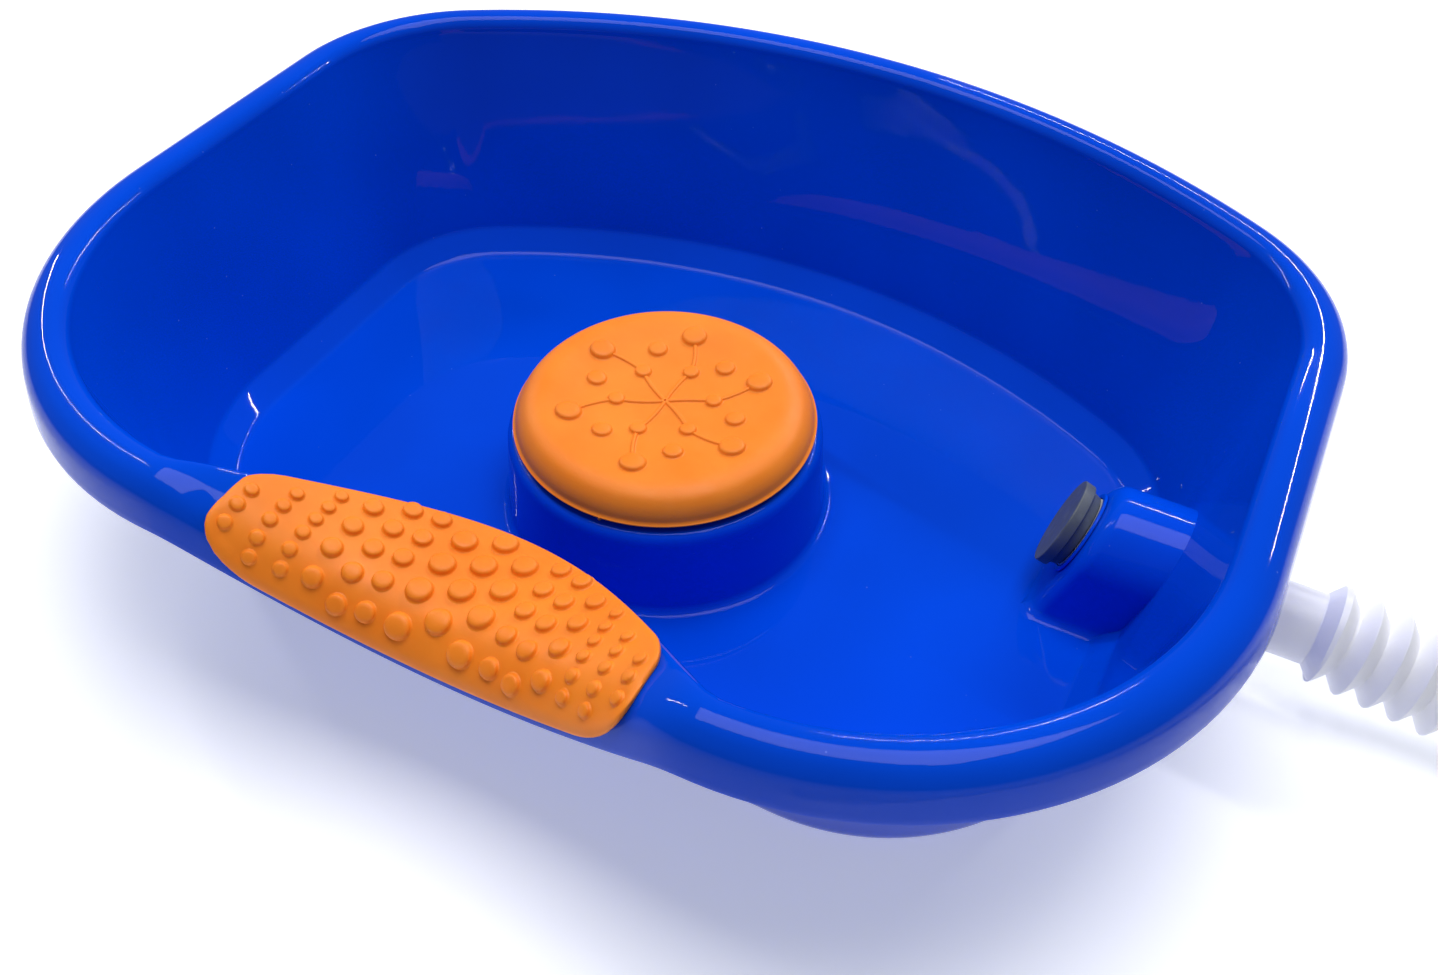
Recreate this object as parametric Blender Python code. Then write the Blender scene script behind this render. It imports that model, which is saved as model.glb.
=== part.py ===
"""Wash basin with a soft rest pad, a round soft head on a floor drum, and a drain hose.

Units are metres, Z is up, the long axis is X and the dipped front side faces -Y.
"""
import math

import bmesh
import bpy
from mathutils import Matrix, Vector

MM = 0.001

# driving dimensions, millimetres
HEAD_Y = -22.0            # axis of the drum and the head
RIM_TOP = 133.0
FLOOR_TOP = 10.0
WALL = 3.0
DIP_DEPTH = 37.6
NECK_RADIUS = 149.0
DRUM_TOP = 56.4
SOCKET_RADIUS = 16.5
SOCKET_BOTTOM = 38.0
HEAD_CENTRE = 68.4        # middle of the head's dished top
HEAD_RADIUS = 70.2
HOUSING_Y = 14.0
HOUSING_HALF = 26.0
HOUSING_AXIS = 43.0
SEAT = (191.4, 14.0, 42.4)      # middle of the housing's sloping face
DRAIN_TILT = math.radians(18)
SPIGOT_Z = 35.5
SPIGOT_END = 262.0
CUFF_END = 293.0
HOSE_RADIUS = 23.0
END_CUFF = 50.0

# centre line of the hose: it sinks to the ground and turns round in front of the basin
HOSE_ROUTE = [(293.4, 14, 35.5), (298, 14, 35.5), (349, 14, 29), (400, 10, 23.5), (448, -4, 23.2),
              (492, -30, 23.2), (527, -66, 23.2), (551, -111, 23.2), (562, -161, 23.2), (560, -211, 23.2),
              (544, -260, 23.2), (517, -302, 23.2), (479, -336, 23.2), (433, -358, 23.2), (383, -368, 23.2),
              (333, -369, 23.2), (282, -368, 23.2), (231, -367, 23.2)]

RIM_PLAN = dict(half=266.0, front=-211.0, back=211.0, front_corner=155.0, back_corner=100.0, back_arc=420.0)
FLOOR_PLAN = dict(half=217.0, front=-153.0, back=153.5, front_corner=95.0, back_corner=70.0, back_arc=370.0)

# outward step, height below the rim top, share of the saddle's inward reach
RIM_OVER = [(-18.5, -7.5, 1.0), (-17.5, -3.7, 1.0), (-14.8, -1.0, 0.95), (-11.0, 0.0, 0.6),
            (-7.0, -0.3, 0.25), (-3.0, -1.9, 0.05), (0.2, -4.8, 0.0), (2.3, -9.2, 0.0), (4.4, -20.0, 0.0)]
RIM_UNDER = [(4.1, -21.5, 0.0), (2.1, -21.5, 0.0), (0.2, -10.2, 0.0), (-1.8, -6.9, 0.0), (-4.5, -4.8, 0.1),
             (-8.0, -3.4, 0.3), (-11.0, -3.1, 0.6), (-13.6, -4.2, 0.95), (-15.2, -8.0, 1.0)]
# outward step and height above the floor surface
FLOOR_FILLET = [(-8.6, 0.0), (-4.6, 1.8), (2.9, 9.4), (5.5, 14.6)]
BASE_FILLET = [(9.0, 11.0), (7.2, 4.0), (4.4, -1.8), (1.0, -5.6), (-1.2, -7.0), (-6.2, -7.0), (-7.2, -3.0)]


def clear_scene():
    for thing in list(bpy.data.objects):
        bpy.data.objects.remove(thing, do_unlink=True)


def collection(name):
    group = bpy.data.collections.new(name)
    bpy.context.scene.collection.children.link(group)
    return group


def material(name, colour, roughness, metallic=0.0):
    stuff = bpy.data.materials.new(name)
    stuff.use_nodes = True
    shader = stuff.node_tree.nodes["Principled BSDF"]
    shader.inputs["Base Color"].default_value = (*colour, 1.0)
    shader.inputs["Roughness"].default_value = roughness
    shader.inputs["Metallic"].default_value = metallic
    stuff.diffuse_color = (*colour, 1.0)
    return stuff


def solid(name, points, faces, group, stuff=None):
    """Make an object from millimetre points, faces turned outwards."""
    mesh = bpy.data.meshes.new(name)
    mesh.from_pydata([Vector(p) * MM for p in points], [], faces)
    work = bmesh.new()
    work.from_mesh(mesh)
    bmesh.ops.recalc_face_normals(work, faces=work.faces)
    work.to_mesh(mesh)
    work.free()
    thing = bpy.data.objects.new(name, mesh)
    group.objects.link(thing)
    if stuff:
        mesh.materials.append(stuff)
    return thing


def loft(name, rings, group, stuff=None):
    """Join closed rings of equal length in order; both ends are capped."""
    count = len(rings[0])
    points = [p for ring in rings for p in ring]
    faces = []
    for r in range(len(rings) - 1):
        for i in range(count):
            j = (i + 1) % count
            faces.append((r * count + i, r * count + j, (r + 1) * count + j, (r + 1) * count + i))
    last = (len(rings) - 1) * count
    faces.append(tuple(range(count))[::-1])
    faces.append(tuple(range(last, last + count)))
    return solid(name, points, faces, group, stuff)


def turned(name, profile, steps, group, stuff=None, place=None):
    """Turn a closed (radius, height) outline about Z; radius 0 gives single points."""
    points, index = [], []
    for radius, height in profile:
        if radius < 1e-6:
            index.append([len(points)] * steps)
            points.append((0.0, 0.0, height))
        else:
            index.append(list(range(len(points), len(points) + steps)))
            for k in range(steps):
                a = 2 * math.pi * k / steps
                points.append((radius * math.cos(a), radius * math.sin(a), height))
    faces = []
    for r in range(len(profile)):
        low, high = index[r], index[(r + 1) % len(profile)]
        for k in range(steps):
            m = (k + 1) % steps
            corners = []
            for c in (low[k], low[m], high[m], high[k]):
                if c not in corners:
                    corners.append(c)
            if len(corners) > 2:
                faces.append(tuple(corners))
    if place:
        points = [tuple(place @ Vector(p)) for p in points]
    return solid(name, points, faces, group, stuff)


def combine(target, cutter, operation, crossing=False):
    """Union, difference or intersection; the cutter is used up."""
    modifier = target.modifiers.new("cut", "BOOLEAN")
    modifier.operation = operation
    modifier.solver = "EXACT"
    modifier.use_self = crossing
    modifier.object = cutter
    bpy.context.view_layer.update()
    view = bpy.context.evaluated_depsgraph_get()
    mesh = bpy.data.meshes.new_from_object(target.evaluated_get(view))
    target.modifiers.clear()
    target.data = mesh
    bpy.data.objects.remove(cutter, do_unlink=True)
    work = bmesh.new()
    work.from_mesh(mesh)
    bmesh.ops.remove_doubles(work, verts=work.verts, dist=0.00002)
    bmesh.ops.dissolve_degenerate(work, edges=work.edges, dist=0.00002)
    work.to_mesh(mesh)
    work.free()


def joined(name, things, group):
    """One mesh made of several solids."""
    work = bmesh.new()
    for thing in things:
        work.from_mesh(thing.data)
    mesh = bpy.data.meshes.new(name)
    work.to_mesh(mesh)
    work.free()
    for thing in things:
        bpy.data.objects.remove(thing, do_unlink=True)
    result = bpy.data.objects.new(name, mesh)
    group.objects.link(result)
    return result


def set_origin(thing, point):
    shift = Vector(point) * MM
    thing.data.transform(Matrix.Translation(-shift))
    thing.location = shift


# ---------------------------------------------------------------- outlines and rim section

def arc(cx, cy, radius, start, end, count):
    angles = [math.radians(start + (end - start) * k / count) for k in range(1, count + 1)]
    return [(cx + radius * math.cos(a), cy + radius * math.sin(a)) for a in angles]


def plan(half, front, back, front_corner, back_corner, back_arc):
    """Mirror-symmetric outline: straight front, round corners, bowed back."""
    side = half - front_corner
    run = half - back_corner
    arc_centre = back - back_arc
    corner_y = arc_centre + math.sqrt((back_arc - back_corner) ** 2 - run ** 2)
    turn = math.degrees(math.atan2(corner_y - arc_centre, run))
    right = [(side * k / 10, front) for k in range(11)]
    right += arc(side, front + front_corner, front_corner, -90, 0, 9)
    right.append((half, corner_y))
    right += arc(run, corner_y, back_corner, 0, turn, 6)
    right += arc(0.0, arc_centre, back_arc, turn, 90, 7)
    left = [(-x, y) for x, y in reversed(right[1:-1])]
    return right + left


def normals(outline):
    result = []
    for i, _ in enumerate(outline):
        ax, ay = outline[i - 1]
        bx, by = outline[(i + 1) % len(outline)]
        size = math.hypot(bx - ax, by - ay)
        result.append(((by - ay) / size, (ax - bx) / size))
    return result


def drop(x):
    """How far the rim dips below its normal height at this distance from the middle."""
    depth, blend = DIP_DEPTH - x * x / (2 * NECK_RADIUS), 6.0
    if depth > blend:
        return depth
    return max(0.0, depth + blend) ** 2 / (4 * blend)


def reach(x, depth, width):
    """Inward bulge that fades out at the given half width."""
    return depth * max(0.0, 1 - (x / width) ** 2) ** 1.3


def rim_ring(step, rise, share):
    outline = plan(**RIM_PLAN)
    ring = []
    for (x, y), (nx, ny) in zip(outline, normals(outline)):
        dip = drop(x) if ny < -0.6 else 0.0
        bulge = reach(x, 42.5, 115.0) * share if ny < -0.6 else 0.0
        ring.append((x + nx * step, y + ny * step + 0.35 * dip + bulge, RIM_TOP - dip + rise - 0.1 * bulge))
    return ring


def floor_ring(step, rise):
    outline = plan(**FLOOR_PLAN)
    ring = []
    for (x, y), (nx, ny) in zip(outline, normals(outline)):
        bulge = reach(x, 24.0, 110.0) if ny < -0.6 else 0.0
        ring.append((x + nx * step, y + ny * step + bulge, FLOOR_TOP + rise))
    return ring


def saddle_section(x):
    """(y, z) line over the dipped rim, from its inner edge to the foot of the skirt."""
    dip = drop(x)
    line = []
    for step, rise, share in RIM_OVER:
        bulge = reach(x, 42.5, 115.0) * share
        line.append((RIM_PLAN["front"] - step + 0.35 * dip + bulge, RIM_TOP - dip + rise - 0.1 * bulge))
    return line


def section_point(x, along, height=0.0):
    """Point at a length along the section, lifted off the surface."""
    line = saddle_section(x)
    lifted = []
    for i, (y, z) in enumerate(line):
        ay, az = line[max(i - 1, 0)]
        by, bz = line[min(i + 1, len(line) - 1)]
        size = math.hypot(by - ay, bz - az)
        lifted.append((y + (bz - az) / size * height, z - (by - ay) / size * height))
    for i in range(len(line) - 1):
        size = math.dist(line[i], line[i + 1])
        if along <= size or i == len(line) - 2:
            t = along / size
            (ay, az), (by, bz) = lifted[i], lifted[i + 1]
            return Vector((x, ay + (by - ay) * t, az + (bz - az) * t))
        along -= size


def section_length(x, y=None):
    """Length of the section from its inner edge to this y, or to the foot of the skirt."""
    line = saddle_section(x)
    total = 0.0
    for (ay, az), (by, bz) in zip(line, line[1:]):
        size = math.dist((ay, az), (by, bz))
        if y is not None and y >= by:
            return total + size * max(0.0, (ay - y) / (ay - by))
        total += size
    return total


# ---------------------------------------------------------------- basin

def housing(name, inset, low, right_at_low, right_slope, depth, group):
    """Arched drain housing with a sloping left face; depth moves that face inwards."""
    lean = math.tan(DRAIN_TILT)
    rings = []
    edge = [(0.0, 6.0), (0.8, 3.0), (2.7, 0.9), (6.0, 0.0)] if depth == 0 else [(0.0, 0.0)]
    for along, trim in edge + [(None, 0.0)]:
        half = HOUSING_HALF - inset - trim
        line = [(half + 1.0, low)]
        line += [(half * math.cos(math.radians(a)), HOUSING_AXIS + half * math.sin(math.radians(a)))
                 for a in range(0, 181, 15)]
        line += [(-half - 1.0, low)]
        ring = []
        for y, z in line:
            if along is None:
                x = right_at_low + right_slope * (z - low)
            else:
                x = SEAT[0] + (depth + along) / math.cos(DRAIN_TILT) + (z - SEAT[2]) * lean
            ring.append((x, HOUSING_Y + y, z))
        rings.append(ring)
    return loft(name, rings, group)


def drain_frame(distance=0.0):
    """Matrix with Z pointing out of the housing's sloping face, at a distance in front of it."""
    outward = Vector((-math.cos(DRAIN_TILT), 0.0, math.sin(DRAIN_TILT)))
    side = Vector((0.0, 1.0, 0.0))
    turn = Matrix((side.cross(outward), side, outward)).transposed().to_4x4()
    return Matrix.Translation(Vector(SEAT) + outward * distance) @ turn


def rod(name, radius, x, y, low, high, steps, group):
    profile = [(0.0, low), (radius, low), (radius, high), (0.0, high)]
    return turned(name, profile, steps, group, place=Matrix.Translation((x, y, 0.0)))


def stem_places():
    return [(-62.0, -190.0), (-22.0, -182.0), (22.0, -182.0), (62.0, -190.0)]


def make_shell(group, cutters, stuff):
    rings = [floor_ring(*spec) for spec in FLOOR_FILLET]
    rings += [rim_ring(*spec) for spec in RIM_OVER + RIM_UNDER]
    rings += [floor_ring(*spec) for spec in BASE_FILLET]
    shell = loft("basin_shell", rings, group, stuff)
    drum = [(0.0, 8.5), (80.5, 8.5), (77.2, 11.9), (76.0, 16.0), (73.6, 50.0), (72.6, 54.2),
            (70.0, DRUM_TOP), (0.0, DRUM_TOP)]
    at_head = Matrix.Translation((0.0, HEAD_Y, 0.0))
    combine(shell, turned("drum", drum, 44, cutters, place=at_head), "UNION")
    combine(shell, housing("housing", 0.0, 8.5, 219.5, 0.245, 0.0, cutters), "UNION")
    hollow = [(0.0, -1.0), (74.0, -1.0), (73.0, 16.0), (70.6, 50.0), (67.5, DRUM_TOP - WALL),
              (20.0, DRUM_TOP - WALL), (20.0, SOCKET_BOTTOM - WALL), (0.0, SOCKET_BOTTOM - WALL)]
    combine(shell, turned("hollow", hollow, 44, cutters, place=at_head), "DIFFERENCE")
    combine(shell, housing("cave", WALL, -1.0, 256.0, 0.0, WALL, cutters), "DIFFERENCE")
    combine(shell, rod("socket", SOCKET_RADIUS, 0.0, HEAD_Y, SOCKET_BOTTOM, 60.0, 32, cutters), "DIFFERENCE")
    bore = [(0.0, -12.0), (17.9, -12.0), (17.9, 12.0), (0.0, 12.0)]
    combine(shell, turned("bore", bore, 32, cutters, place=drain_frame()), "DIFFERENCE")
    for x, y in stem_places():
        z = section_point(x, section_length(x, y)).z
        combine(shell, rod("hole", 3.5, x, y, z - 7.0, z + 4.0, 14, cutters), "DIFFERENCE")
    return shell


# ---------------------------------------------------------------- rest pad

PAD_HALF = 89.5
PAD_THICK = 3.0
PAD_GAP = 1.1
# distance from the middle, rows, first row, pitch, radius and height of the nubs
NUB_COLUMNS = [(0.0, 4, -148.5, 14.0, 5.2, 2.6), (13.8, 4, -155.5, 14.0, 5.2, 2.6),
               (27.4, 5, -151.5, 11.8, 4.0, 2.2), (38.5, 5, -154.5, 11.8, 4.0, 2.2),
               (50.0, 4, -163.0, 11.8, 4.0, 2.2), (61.2, 6, -167.0, 7.1, 2.7, 1.7),
               (72.3, 5, -177.5, 7.1, 2.7, 1.7), (83.4, 3, -187.5, 7.1, 2.7, 1.7)]


def corner(x, radius):
    """How far an edge of the pad curves back at this distance from the middle."""
    return radius - math.sqrt(radius ** 2 - max(0.0, abs(x) - PAD_HALF + radius) ** 2)


def pad_edges(x):
    """Lengths along the section where the pad starts and stops; its corners are round."""
    return 7.4 + corner(x, 9.0), section_length(x) - 4.5 - corner(x, 20.0)


def nub_solid(x, along, radius, height, cutters):
    """Low dome standing square on the pad's surface."""
    top = PAD_GAP + PAD_THICK
    here = section_point(x, along, top)
    up = (section_point(x + 0.6, along, top) - here).cross(section_point(x, along + 0.6, top) - here)
    up = up if up.z > 0 else -up
    place = Matrix.Translation(here) @ up.to_track_quat("Z", "Y").to_matrix().to_4x4()
    dome = [(0.0, -1.2), (radius, -1.2), (radius * 0.86, height * 0.72), (0.0, height)]
    return turned("nub", dome, 8, cutters, place=place)


def make_pad(group, cutters, stuff):
    rings = []
    for k in range(-13, 14):
        x = PAD_HALF * math.sin(math.pi / 2 * k / 13)
        inner, outer = pad_edges(x)
        steps = [inner + (outer - inner) * m / 12 for m in range(13)]
        ring = [section_point(x, s, PAD_GAP) for s in steps]
        ring.append(section_point(x, outer + 0.6, PAD_GAP + PAD_THICK * 0.5))
        ring += [section_point(x, s, PAD_GAP + PAD_THICK) for s in reversed(steps)]
        ring.append(section_point(x, max(0.0, inner - 0.6), PAD_GAP + PAD_THICK * 0.5))
        rings.append([tuple(p) for p in ring])
    pad = loft("rest_pad", rings, group, stuff)
    nubs = []
    for middle, rows, first, pitch, radius, height in NUB_COLUMNS:
        for x in ([0.0] if middle == 0 else [-middle, middle]):
            start = section_length(x, first)
            nubs += [nub_solid(x, start + pitch * k, radius, height, cutters) for k in range(rows)]
    combine(pad, joined("nubs", nubs, cutters), "UNION")
    for x, y in stem_places():
        z = section_point(x, section_length(x, y), PAD_GAP).z
        combine(pad, rod("stem", 3.1, x, y, z - 9.0, z + 1.2, 14, cutters), "UNION")
    return pad


# ---------------------------------------------------------------- massage head

def dish(radius):
    """Height of the head's top above its middle."""
    return 0.0014 * min(radius, 50.0) ** 2


def polar(radius, degrees):
    return radius * math.cos(math.radians(degrees)), radius * math.sin(math.radians(degrees))


def bump(radius, degrees, size, height, cutters):
    x, y = polar(radius, degrees)
    dome = [(0.0, -2.0), (size, -2.0), (size * 0.86, height * 0.72), (0.0, height)]
    place = Matrix.Translation((x, y + HEAD_Y, HEAD_CENTRE + dish(radius)))
    return turned("bump", dome, 10, cutters, place=place)


def spoke(start, cutters):
    """Thin curved rib from the middle out to one of the large bumps."""
    rings = []
    for k in range(9):
        radius = 1.0 + 43.0 * k / 8
        out, near = (radius - 22.3) / 22.2, (22.3 - radius) / 22.3
        bend = start - 14.0 + (14.5 * out if out > 0 else 9.0 * near)
        x, y = polar(radius, bend)
        side = Vector(polar(1.0, bend + 90)).to_3d()
        ring = []
        for step in range(6):
            a = math.radians(60 * step)
            at = Vector((x, y + HEAD_Y, HEAD_CENTRE + dish(radius))) + side * 1.1 * math.cos(a)
            ring.append(tuple(at + Vector((0.0, 0.0, 1.1 * math.sin(a) - 0.1))))
        rings.append(ring)
    return loft("spoke", rings, cutters)


def make_head_cap(group, cutters, stuff):
    profile = [(0.0, 0.0), (14.0, 0.3), (27.0, 1.0), (39.0, 2.1), (50.0, 3.5), (57.5, 3.4), (63.0, 1.6),
               (67.0, -1.6), (69.4, -5.4), (HEAD_RADIUS, -8.0), (69.6, -8.9), (67.5, -10.0), (62.5, -10.0),
               (62.5, -8.2), (66.4, -8.0), (66.4, -4.0), (0.0, -4.0)]
    place = Matrix.Translation((0.0, HEAD_Y, HEAD_CENTRE))
    cap = turned("head_cap", profile, 44, group, stuff, place=place)
    pieces = [bump(44.5, 160.5 - 60 * k, 6.0, 2.2, cutters) for k in range(6)]
    pieces += [bump(22.3, 146.0 - 60 * k, 3.9, 1.8, cutters) for k in range(6)]
    pieces += [bump(34.7, 124.6 - 60 * k, 4.6, 1.8, cutters) for k in range(6)]
    combine(cap, joined("bumps", pieces, cutters), "UNION")
    for k in range(6):
        combine(cap, spoke(160.5 - 60 * k, cutters), "UNION")
    set_origin(cap, (0.0, HEAD_Y, HEAD_CENTRE))
    return cap


def make_head_carrier(group, stuff):
    """Stiff plate inside the cap, with a stem that plugs into the drum's socket."""
    profile = [(0.0, 63.9), (65.9, 63.9), (65.9, 60.9), (26.0, 60.9), (24.0, 56.8), (15.9, 56.8),
               (15.9, 49.4), (13.3, 49.4), (13.3, 46.2), (15.9, 46.2), (15.0, 39.0), (0.0, 39.0)]
    place = Matrix.Translation((0.0, HEAD_Y, 0.0))
    carrier = turned("head_carrier", profile, 32, group, stuff, place=place)
    set_origin(carrier, (0.0, HEAD_Y, DRUM_TOP))
    return carrier


def ring_profile(major, minor, height, count):
    angles = [2 * math.pi * k / count for k in range(count)]
    return [(major + minor * math.cos(a), height + minor * math.sin(a)) for a in angles]


def make_head_seal(group, stuff):
    place = Matrix.Translation((0.0, HEAD_Y, 0.0))
    seal = turned("head_seal_ring", ring_profile(14.85, 1.25, 47.8, 6), 24, group, stuff, place=place)
    set_origin(seal, (0.0, HEAD_Y, 47.8))
    return seal


# ---------------------------------------------------------------- drain

def make_stopper(group, stuff):
    """Grey rubber plug: flat grip disc, wide shoulder over the seat and tapered neck in the bore."""
    profile = [(0.0, 11.2), (18.0, 11.4), (20.2, 11.4), (20.6, 10.8), (20.4, 6.6), (19.6, 6.2), (18.4, 6.0),
               (17.4, 2.2), (15.2, 2.0), (14.5, -5.4), (13.2, -6.8), (0.0, -6.8)]
    stopper = turned("drain_stopper", profile, 28, group, stuff, place=drain_frame())
    set_origin(stopper, SEAT)
    return stopper


def make_seat_ring(group, stuff):
    """Thin ring on the elbow's collar, against the housing's sloping face."""
    profile = [(17.8, 0.35), (20.2, 0.35), (20.2, 1.2), (19.8, 1.6), (17.8, 1.6)]
    return turned("drain_seat_ring", profile, 24, group, stuff, place=drain_frame())


def make_gasket(group, stuff):
    profile = [(18.2, -3.4), (21.2, -3.4), (21.2, -5.0), (18.2, -5.0)]
    return turned("elbow_gasket", profile, 24, group, stuff, place=drain_frame())


def tube_rings(path, radius, count):
    """Rings square to a path that stays in one upright plane."""
    rings = []
    for i, here in enumerate(path):
        before, after = path[max(i - 1, 0)], path[min(i + 1, len(path) - 1)]
        along = (Vector(after) - Vector(before)).normalized()
        side = Vector((0.0, 1.0, 0.0))
        up = side.cross(along) * -1
        rings.append([tuple(Vector(here) + side * radius * math.cos(2 * math.pi * k / count)
                            + up * radius * math.sin(2 * math.pi * k / count)) for k in range(count)])
    return rings


def elbow_path():
    """From behind the sloping face round a gentle bend to the spigot's mouth."""
    frame = drain_frame()
    start = frame @ Vector((0.0, 0.0, -6.0))
    turn = frame @ Vector((0.0, 0.0, -22.3))
    end = Vector((SPIGOT_END, HOUSING_Y, SPIGOT_Z))
    line = [tuple(start)]
    for k in range(7):
        t = k / 6
        first = start.lerp(turn, 0.3 + 0.7 * t)
        second = turn.lerp(end, 0.3 * t)
        line.append(tuple(first.lerp(second, t)))
    return line + [tuple(end)]


def make_elbow(group, cutters, stuff):
    flange = [(0.0, 1.4), (17.5, 1.4), (17.5, -5.35), (21.4, -5.35), (21.4, -8.2), (15.6, -9.4), (0.0, -9.4)]
    elbow = turned("drain_elbow", flange, 24, group, stuff, place=drain_frame())
    path = elbow_path()
    combine(elbow, loft("run", tube_rings(path, 13.4, 16), cutters), "UNION")
    mouth = [(0.0, 6.0), (15.75, 6.0), (15.3, -7.6), (0.0, -7.6)]
    combine(elbow, turned("mouth", mouth, 24, cutters, place=drain_frame()), "DIFFERENCE")
    end = Vector(path[-1]) + Vector((2.0, 0.0, 0.0))
    combine(elbow, loft("bore", tube_rings(path + [tuple(end)], 11.2, 16), cutters), "DIFFERENCE")
    return elbow


# ---------------------------------------------------------------- hose

def hose_frame(x):
    """Matrix with Z along the hose where it leaves the spigot."""
    return Matrix.Translation((x, HOUSING_Y, SPIGOT_Z)) @ Matrix.Rotation(math.radians(90), 4, "Y")


def make_cuff(name, place, length, group, stuff):
    profile = [(13.8, 0.0), (16.4, 0.0), (16.4, 8.0), (16.0, length - 1.0), (15.4, length), (13.8, length)]
    return turned(name, profile, 20, group, stuff, place=place)


def make_spigot_ring(group, stuff):
    place = hose_frame(0.0)
    return turned("spigot_seal_ring", ring_profile(17.9, 1.1, 246.0, 6), 20, group, stuff, place=place)


def make_hose(group, stuff):
    curve = bpy.data.curves.new("drain_hose", "CURVE")
    curve.dimensions = "3D"
    curve.bevel_depth = HOSE_RADIUS * MM
    curve.bevel_resolution = 2
    curve.use_fill_caps = True
    line = curve.splines.new("POLY")
    line.points.add(len(HOSE_ROUTE) - 1)
    for point, place in zip(line.points, HOSE_ROUTE):
        point.co = (*(Vector(place) * MM), 1.0)
    hose = bpy.data.objects.new("drain_hose", curve)
    group.objects.link(hose)
    curve.materials.append(stuff)
    return hose


def make_end_cuff(group, stuff):
    last, before = Vector(HOSE_ROUTE[-1]), Vector(HOSE_ROUTE[-2])
    along = (last - before).normalized()
    place = Matrix.Translation(last + along * 0.4) @ along.to_track_quat("Z", "Y").to_matrix().to_4x4()
    return make_cuff("hose_end_cuff", place, END_CUFF, group, stuff)


# ---------------------------------------------------------------- feet

def make_feet(group, stuff):
    profile = [(0.0, 0.0), (9.0, 0.0), (10.5, 1.2), (10.5, 6.7), (0.0, 6.7)]
    for side, x in (("left", -165.0), ("right", 165.0)):
        for end, y in (("front", -98.0), ("back", 78.0)):
            place = Matrix.Translation((x, y, 0.0))
            foot = turned(f"foot_{end}_{side}", profile, 20, group, stuff, place=place)
            set_origin(foot, (x, y, 6.7))


def main():
    clear_scene()
    group = collection("wash_basin")
    cutters = collection("cutters")
    blue = material("blue plastic", (0.0, 0.045, 0.62), 0.12)
    orange = material("orange soft rubber", (0.90, 0.16, 0.01), 0.55)
    grey = material("grey rubber", (0.075, 0.10, 0.13), 0.6)
    white = material("white hose plastic", (0.78, 0.78, 0.86), 0.35)
    black = material("black rubber", (0.02, 0.02, 0.02), 0.7)
    make_shell(group, cutters, blue)
    make_pad(group, cutters, orange)
    make_head_cap(group, cutters, orange)
    make_head_carrier(group, blue)
    make_head_seal(group, black)
    make_stopper(group, grey)
    make_seat_ring(group, blue)
    make_gasket(group, black)
    make_elbow(group, cutters, white)
    make_spigot_ring(group, black)
    make_cuff("hose_cuff", hose_frame(242.0), CUFF_END - 242.0, group, white)
    make_hose(group, white)
    make_end_cuff(group, white)
    make_feet(group, black)


main()
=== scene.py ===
"""Looks of the foot spa basin: glossy moulded bowl, soft rubber pad and head, plug and corrugated hose."""
import math

import bmesh
import bpy
from mathutils import Matrix, Vector


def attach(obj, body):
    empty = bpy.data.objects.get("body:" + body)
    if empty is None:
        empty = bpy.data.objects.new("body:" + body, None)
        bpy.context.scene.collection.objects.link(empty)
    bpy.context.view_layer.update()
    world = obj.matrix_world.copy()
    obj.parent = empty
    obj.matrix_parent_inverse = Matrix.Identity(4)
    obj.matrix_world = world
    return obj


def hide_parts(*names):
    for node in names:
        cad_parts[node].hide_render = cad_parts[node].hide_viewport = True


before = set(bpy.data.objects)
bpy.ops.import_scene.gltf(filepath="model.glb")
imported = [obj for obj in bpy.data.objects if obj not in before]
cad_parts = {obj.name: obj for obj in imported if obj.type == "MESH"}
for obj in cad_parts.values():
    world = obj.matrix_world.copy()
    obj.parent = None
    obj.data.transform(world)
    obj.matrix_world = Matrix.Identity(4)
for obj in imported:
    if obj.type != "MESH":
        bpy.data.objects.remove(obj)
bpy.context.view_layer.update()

MM = 0.001
# edges sharper than this angle in degrees stay hard, where a piece says nothing else
CREASE = 35

# driving dimensions, in millimetres, in the CAD's frame
HEAD_Y = -22.0
RIM_TOP = 133.0
FLOOR_TOP = 10.0
WALL = 3.0
DIP_DEPTH = 37.6
NECK_RADIUS = 149.0
DRUM_TOP = 56.4
DRUM_HOLE = 75.6
SOCKET_RADIUS = 16.5
SOCKET_BOTTOM = 38.0
HEAD_CENTRE = 68.4
HEAD_RADIUS = 70.2
# six bumps on each ring of the head: the ring's radius, the first one's angle, their size and height
BUMP_RINGS = [(44.5, 160.5, 6.0, 2.2), (22.3, 146.0, 3.9, 1.8), (34.7, 124.6, 4.6, 1.8)]
BUMP_TURN = 60
HOUSING_Y = 14.0
HOUSING_HALF = 26.0
HOUSING_AXIS = 43.0
SEAT = (191.4, 14.0, 42.4)
DRAIN_TILT = math.radians(18)
BORE_RADIUS = 17.9
PIPE_RADIUS = 13.4
PIPE_BORE = 11.2
SPIGOT_Z = 35.5
SPIGOT_END = 262.0
CUFF_START = 242.0
CUFF_END = 293.0
BAND_X = 246.0
END_CUFF = 50.0
# the CAD's plain tube, and the ridges and valleys drawn inside it
HOSE_RIDGE = 22.2
HOSE_VALLEY = 16.0
HOSE_PITCH = 12.4

RIM_PLAN = dict(half=266.0, front=-211.0, back=211.0, front_corner=155.0, back_corner=100.0, back_arc=420.0)
FLOOR_PLAN = dict(half=217.0, front=-153.0, back=153.5, front_corner=95.0, back_corner=70.0, back_arc=370.0)

# the dipped front: inward shift per drop, how far the saddle reaches in, over which half width, and its fall
DIP_LEAN = 0.35
SADDLE_REACH = 42.5
SADDLE_HALF = 115.0
SADDLE_FALL = 0.1
FLOOR_REACH = 24.0
FLOOR_REACH_HALF = 110.0
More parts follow.
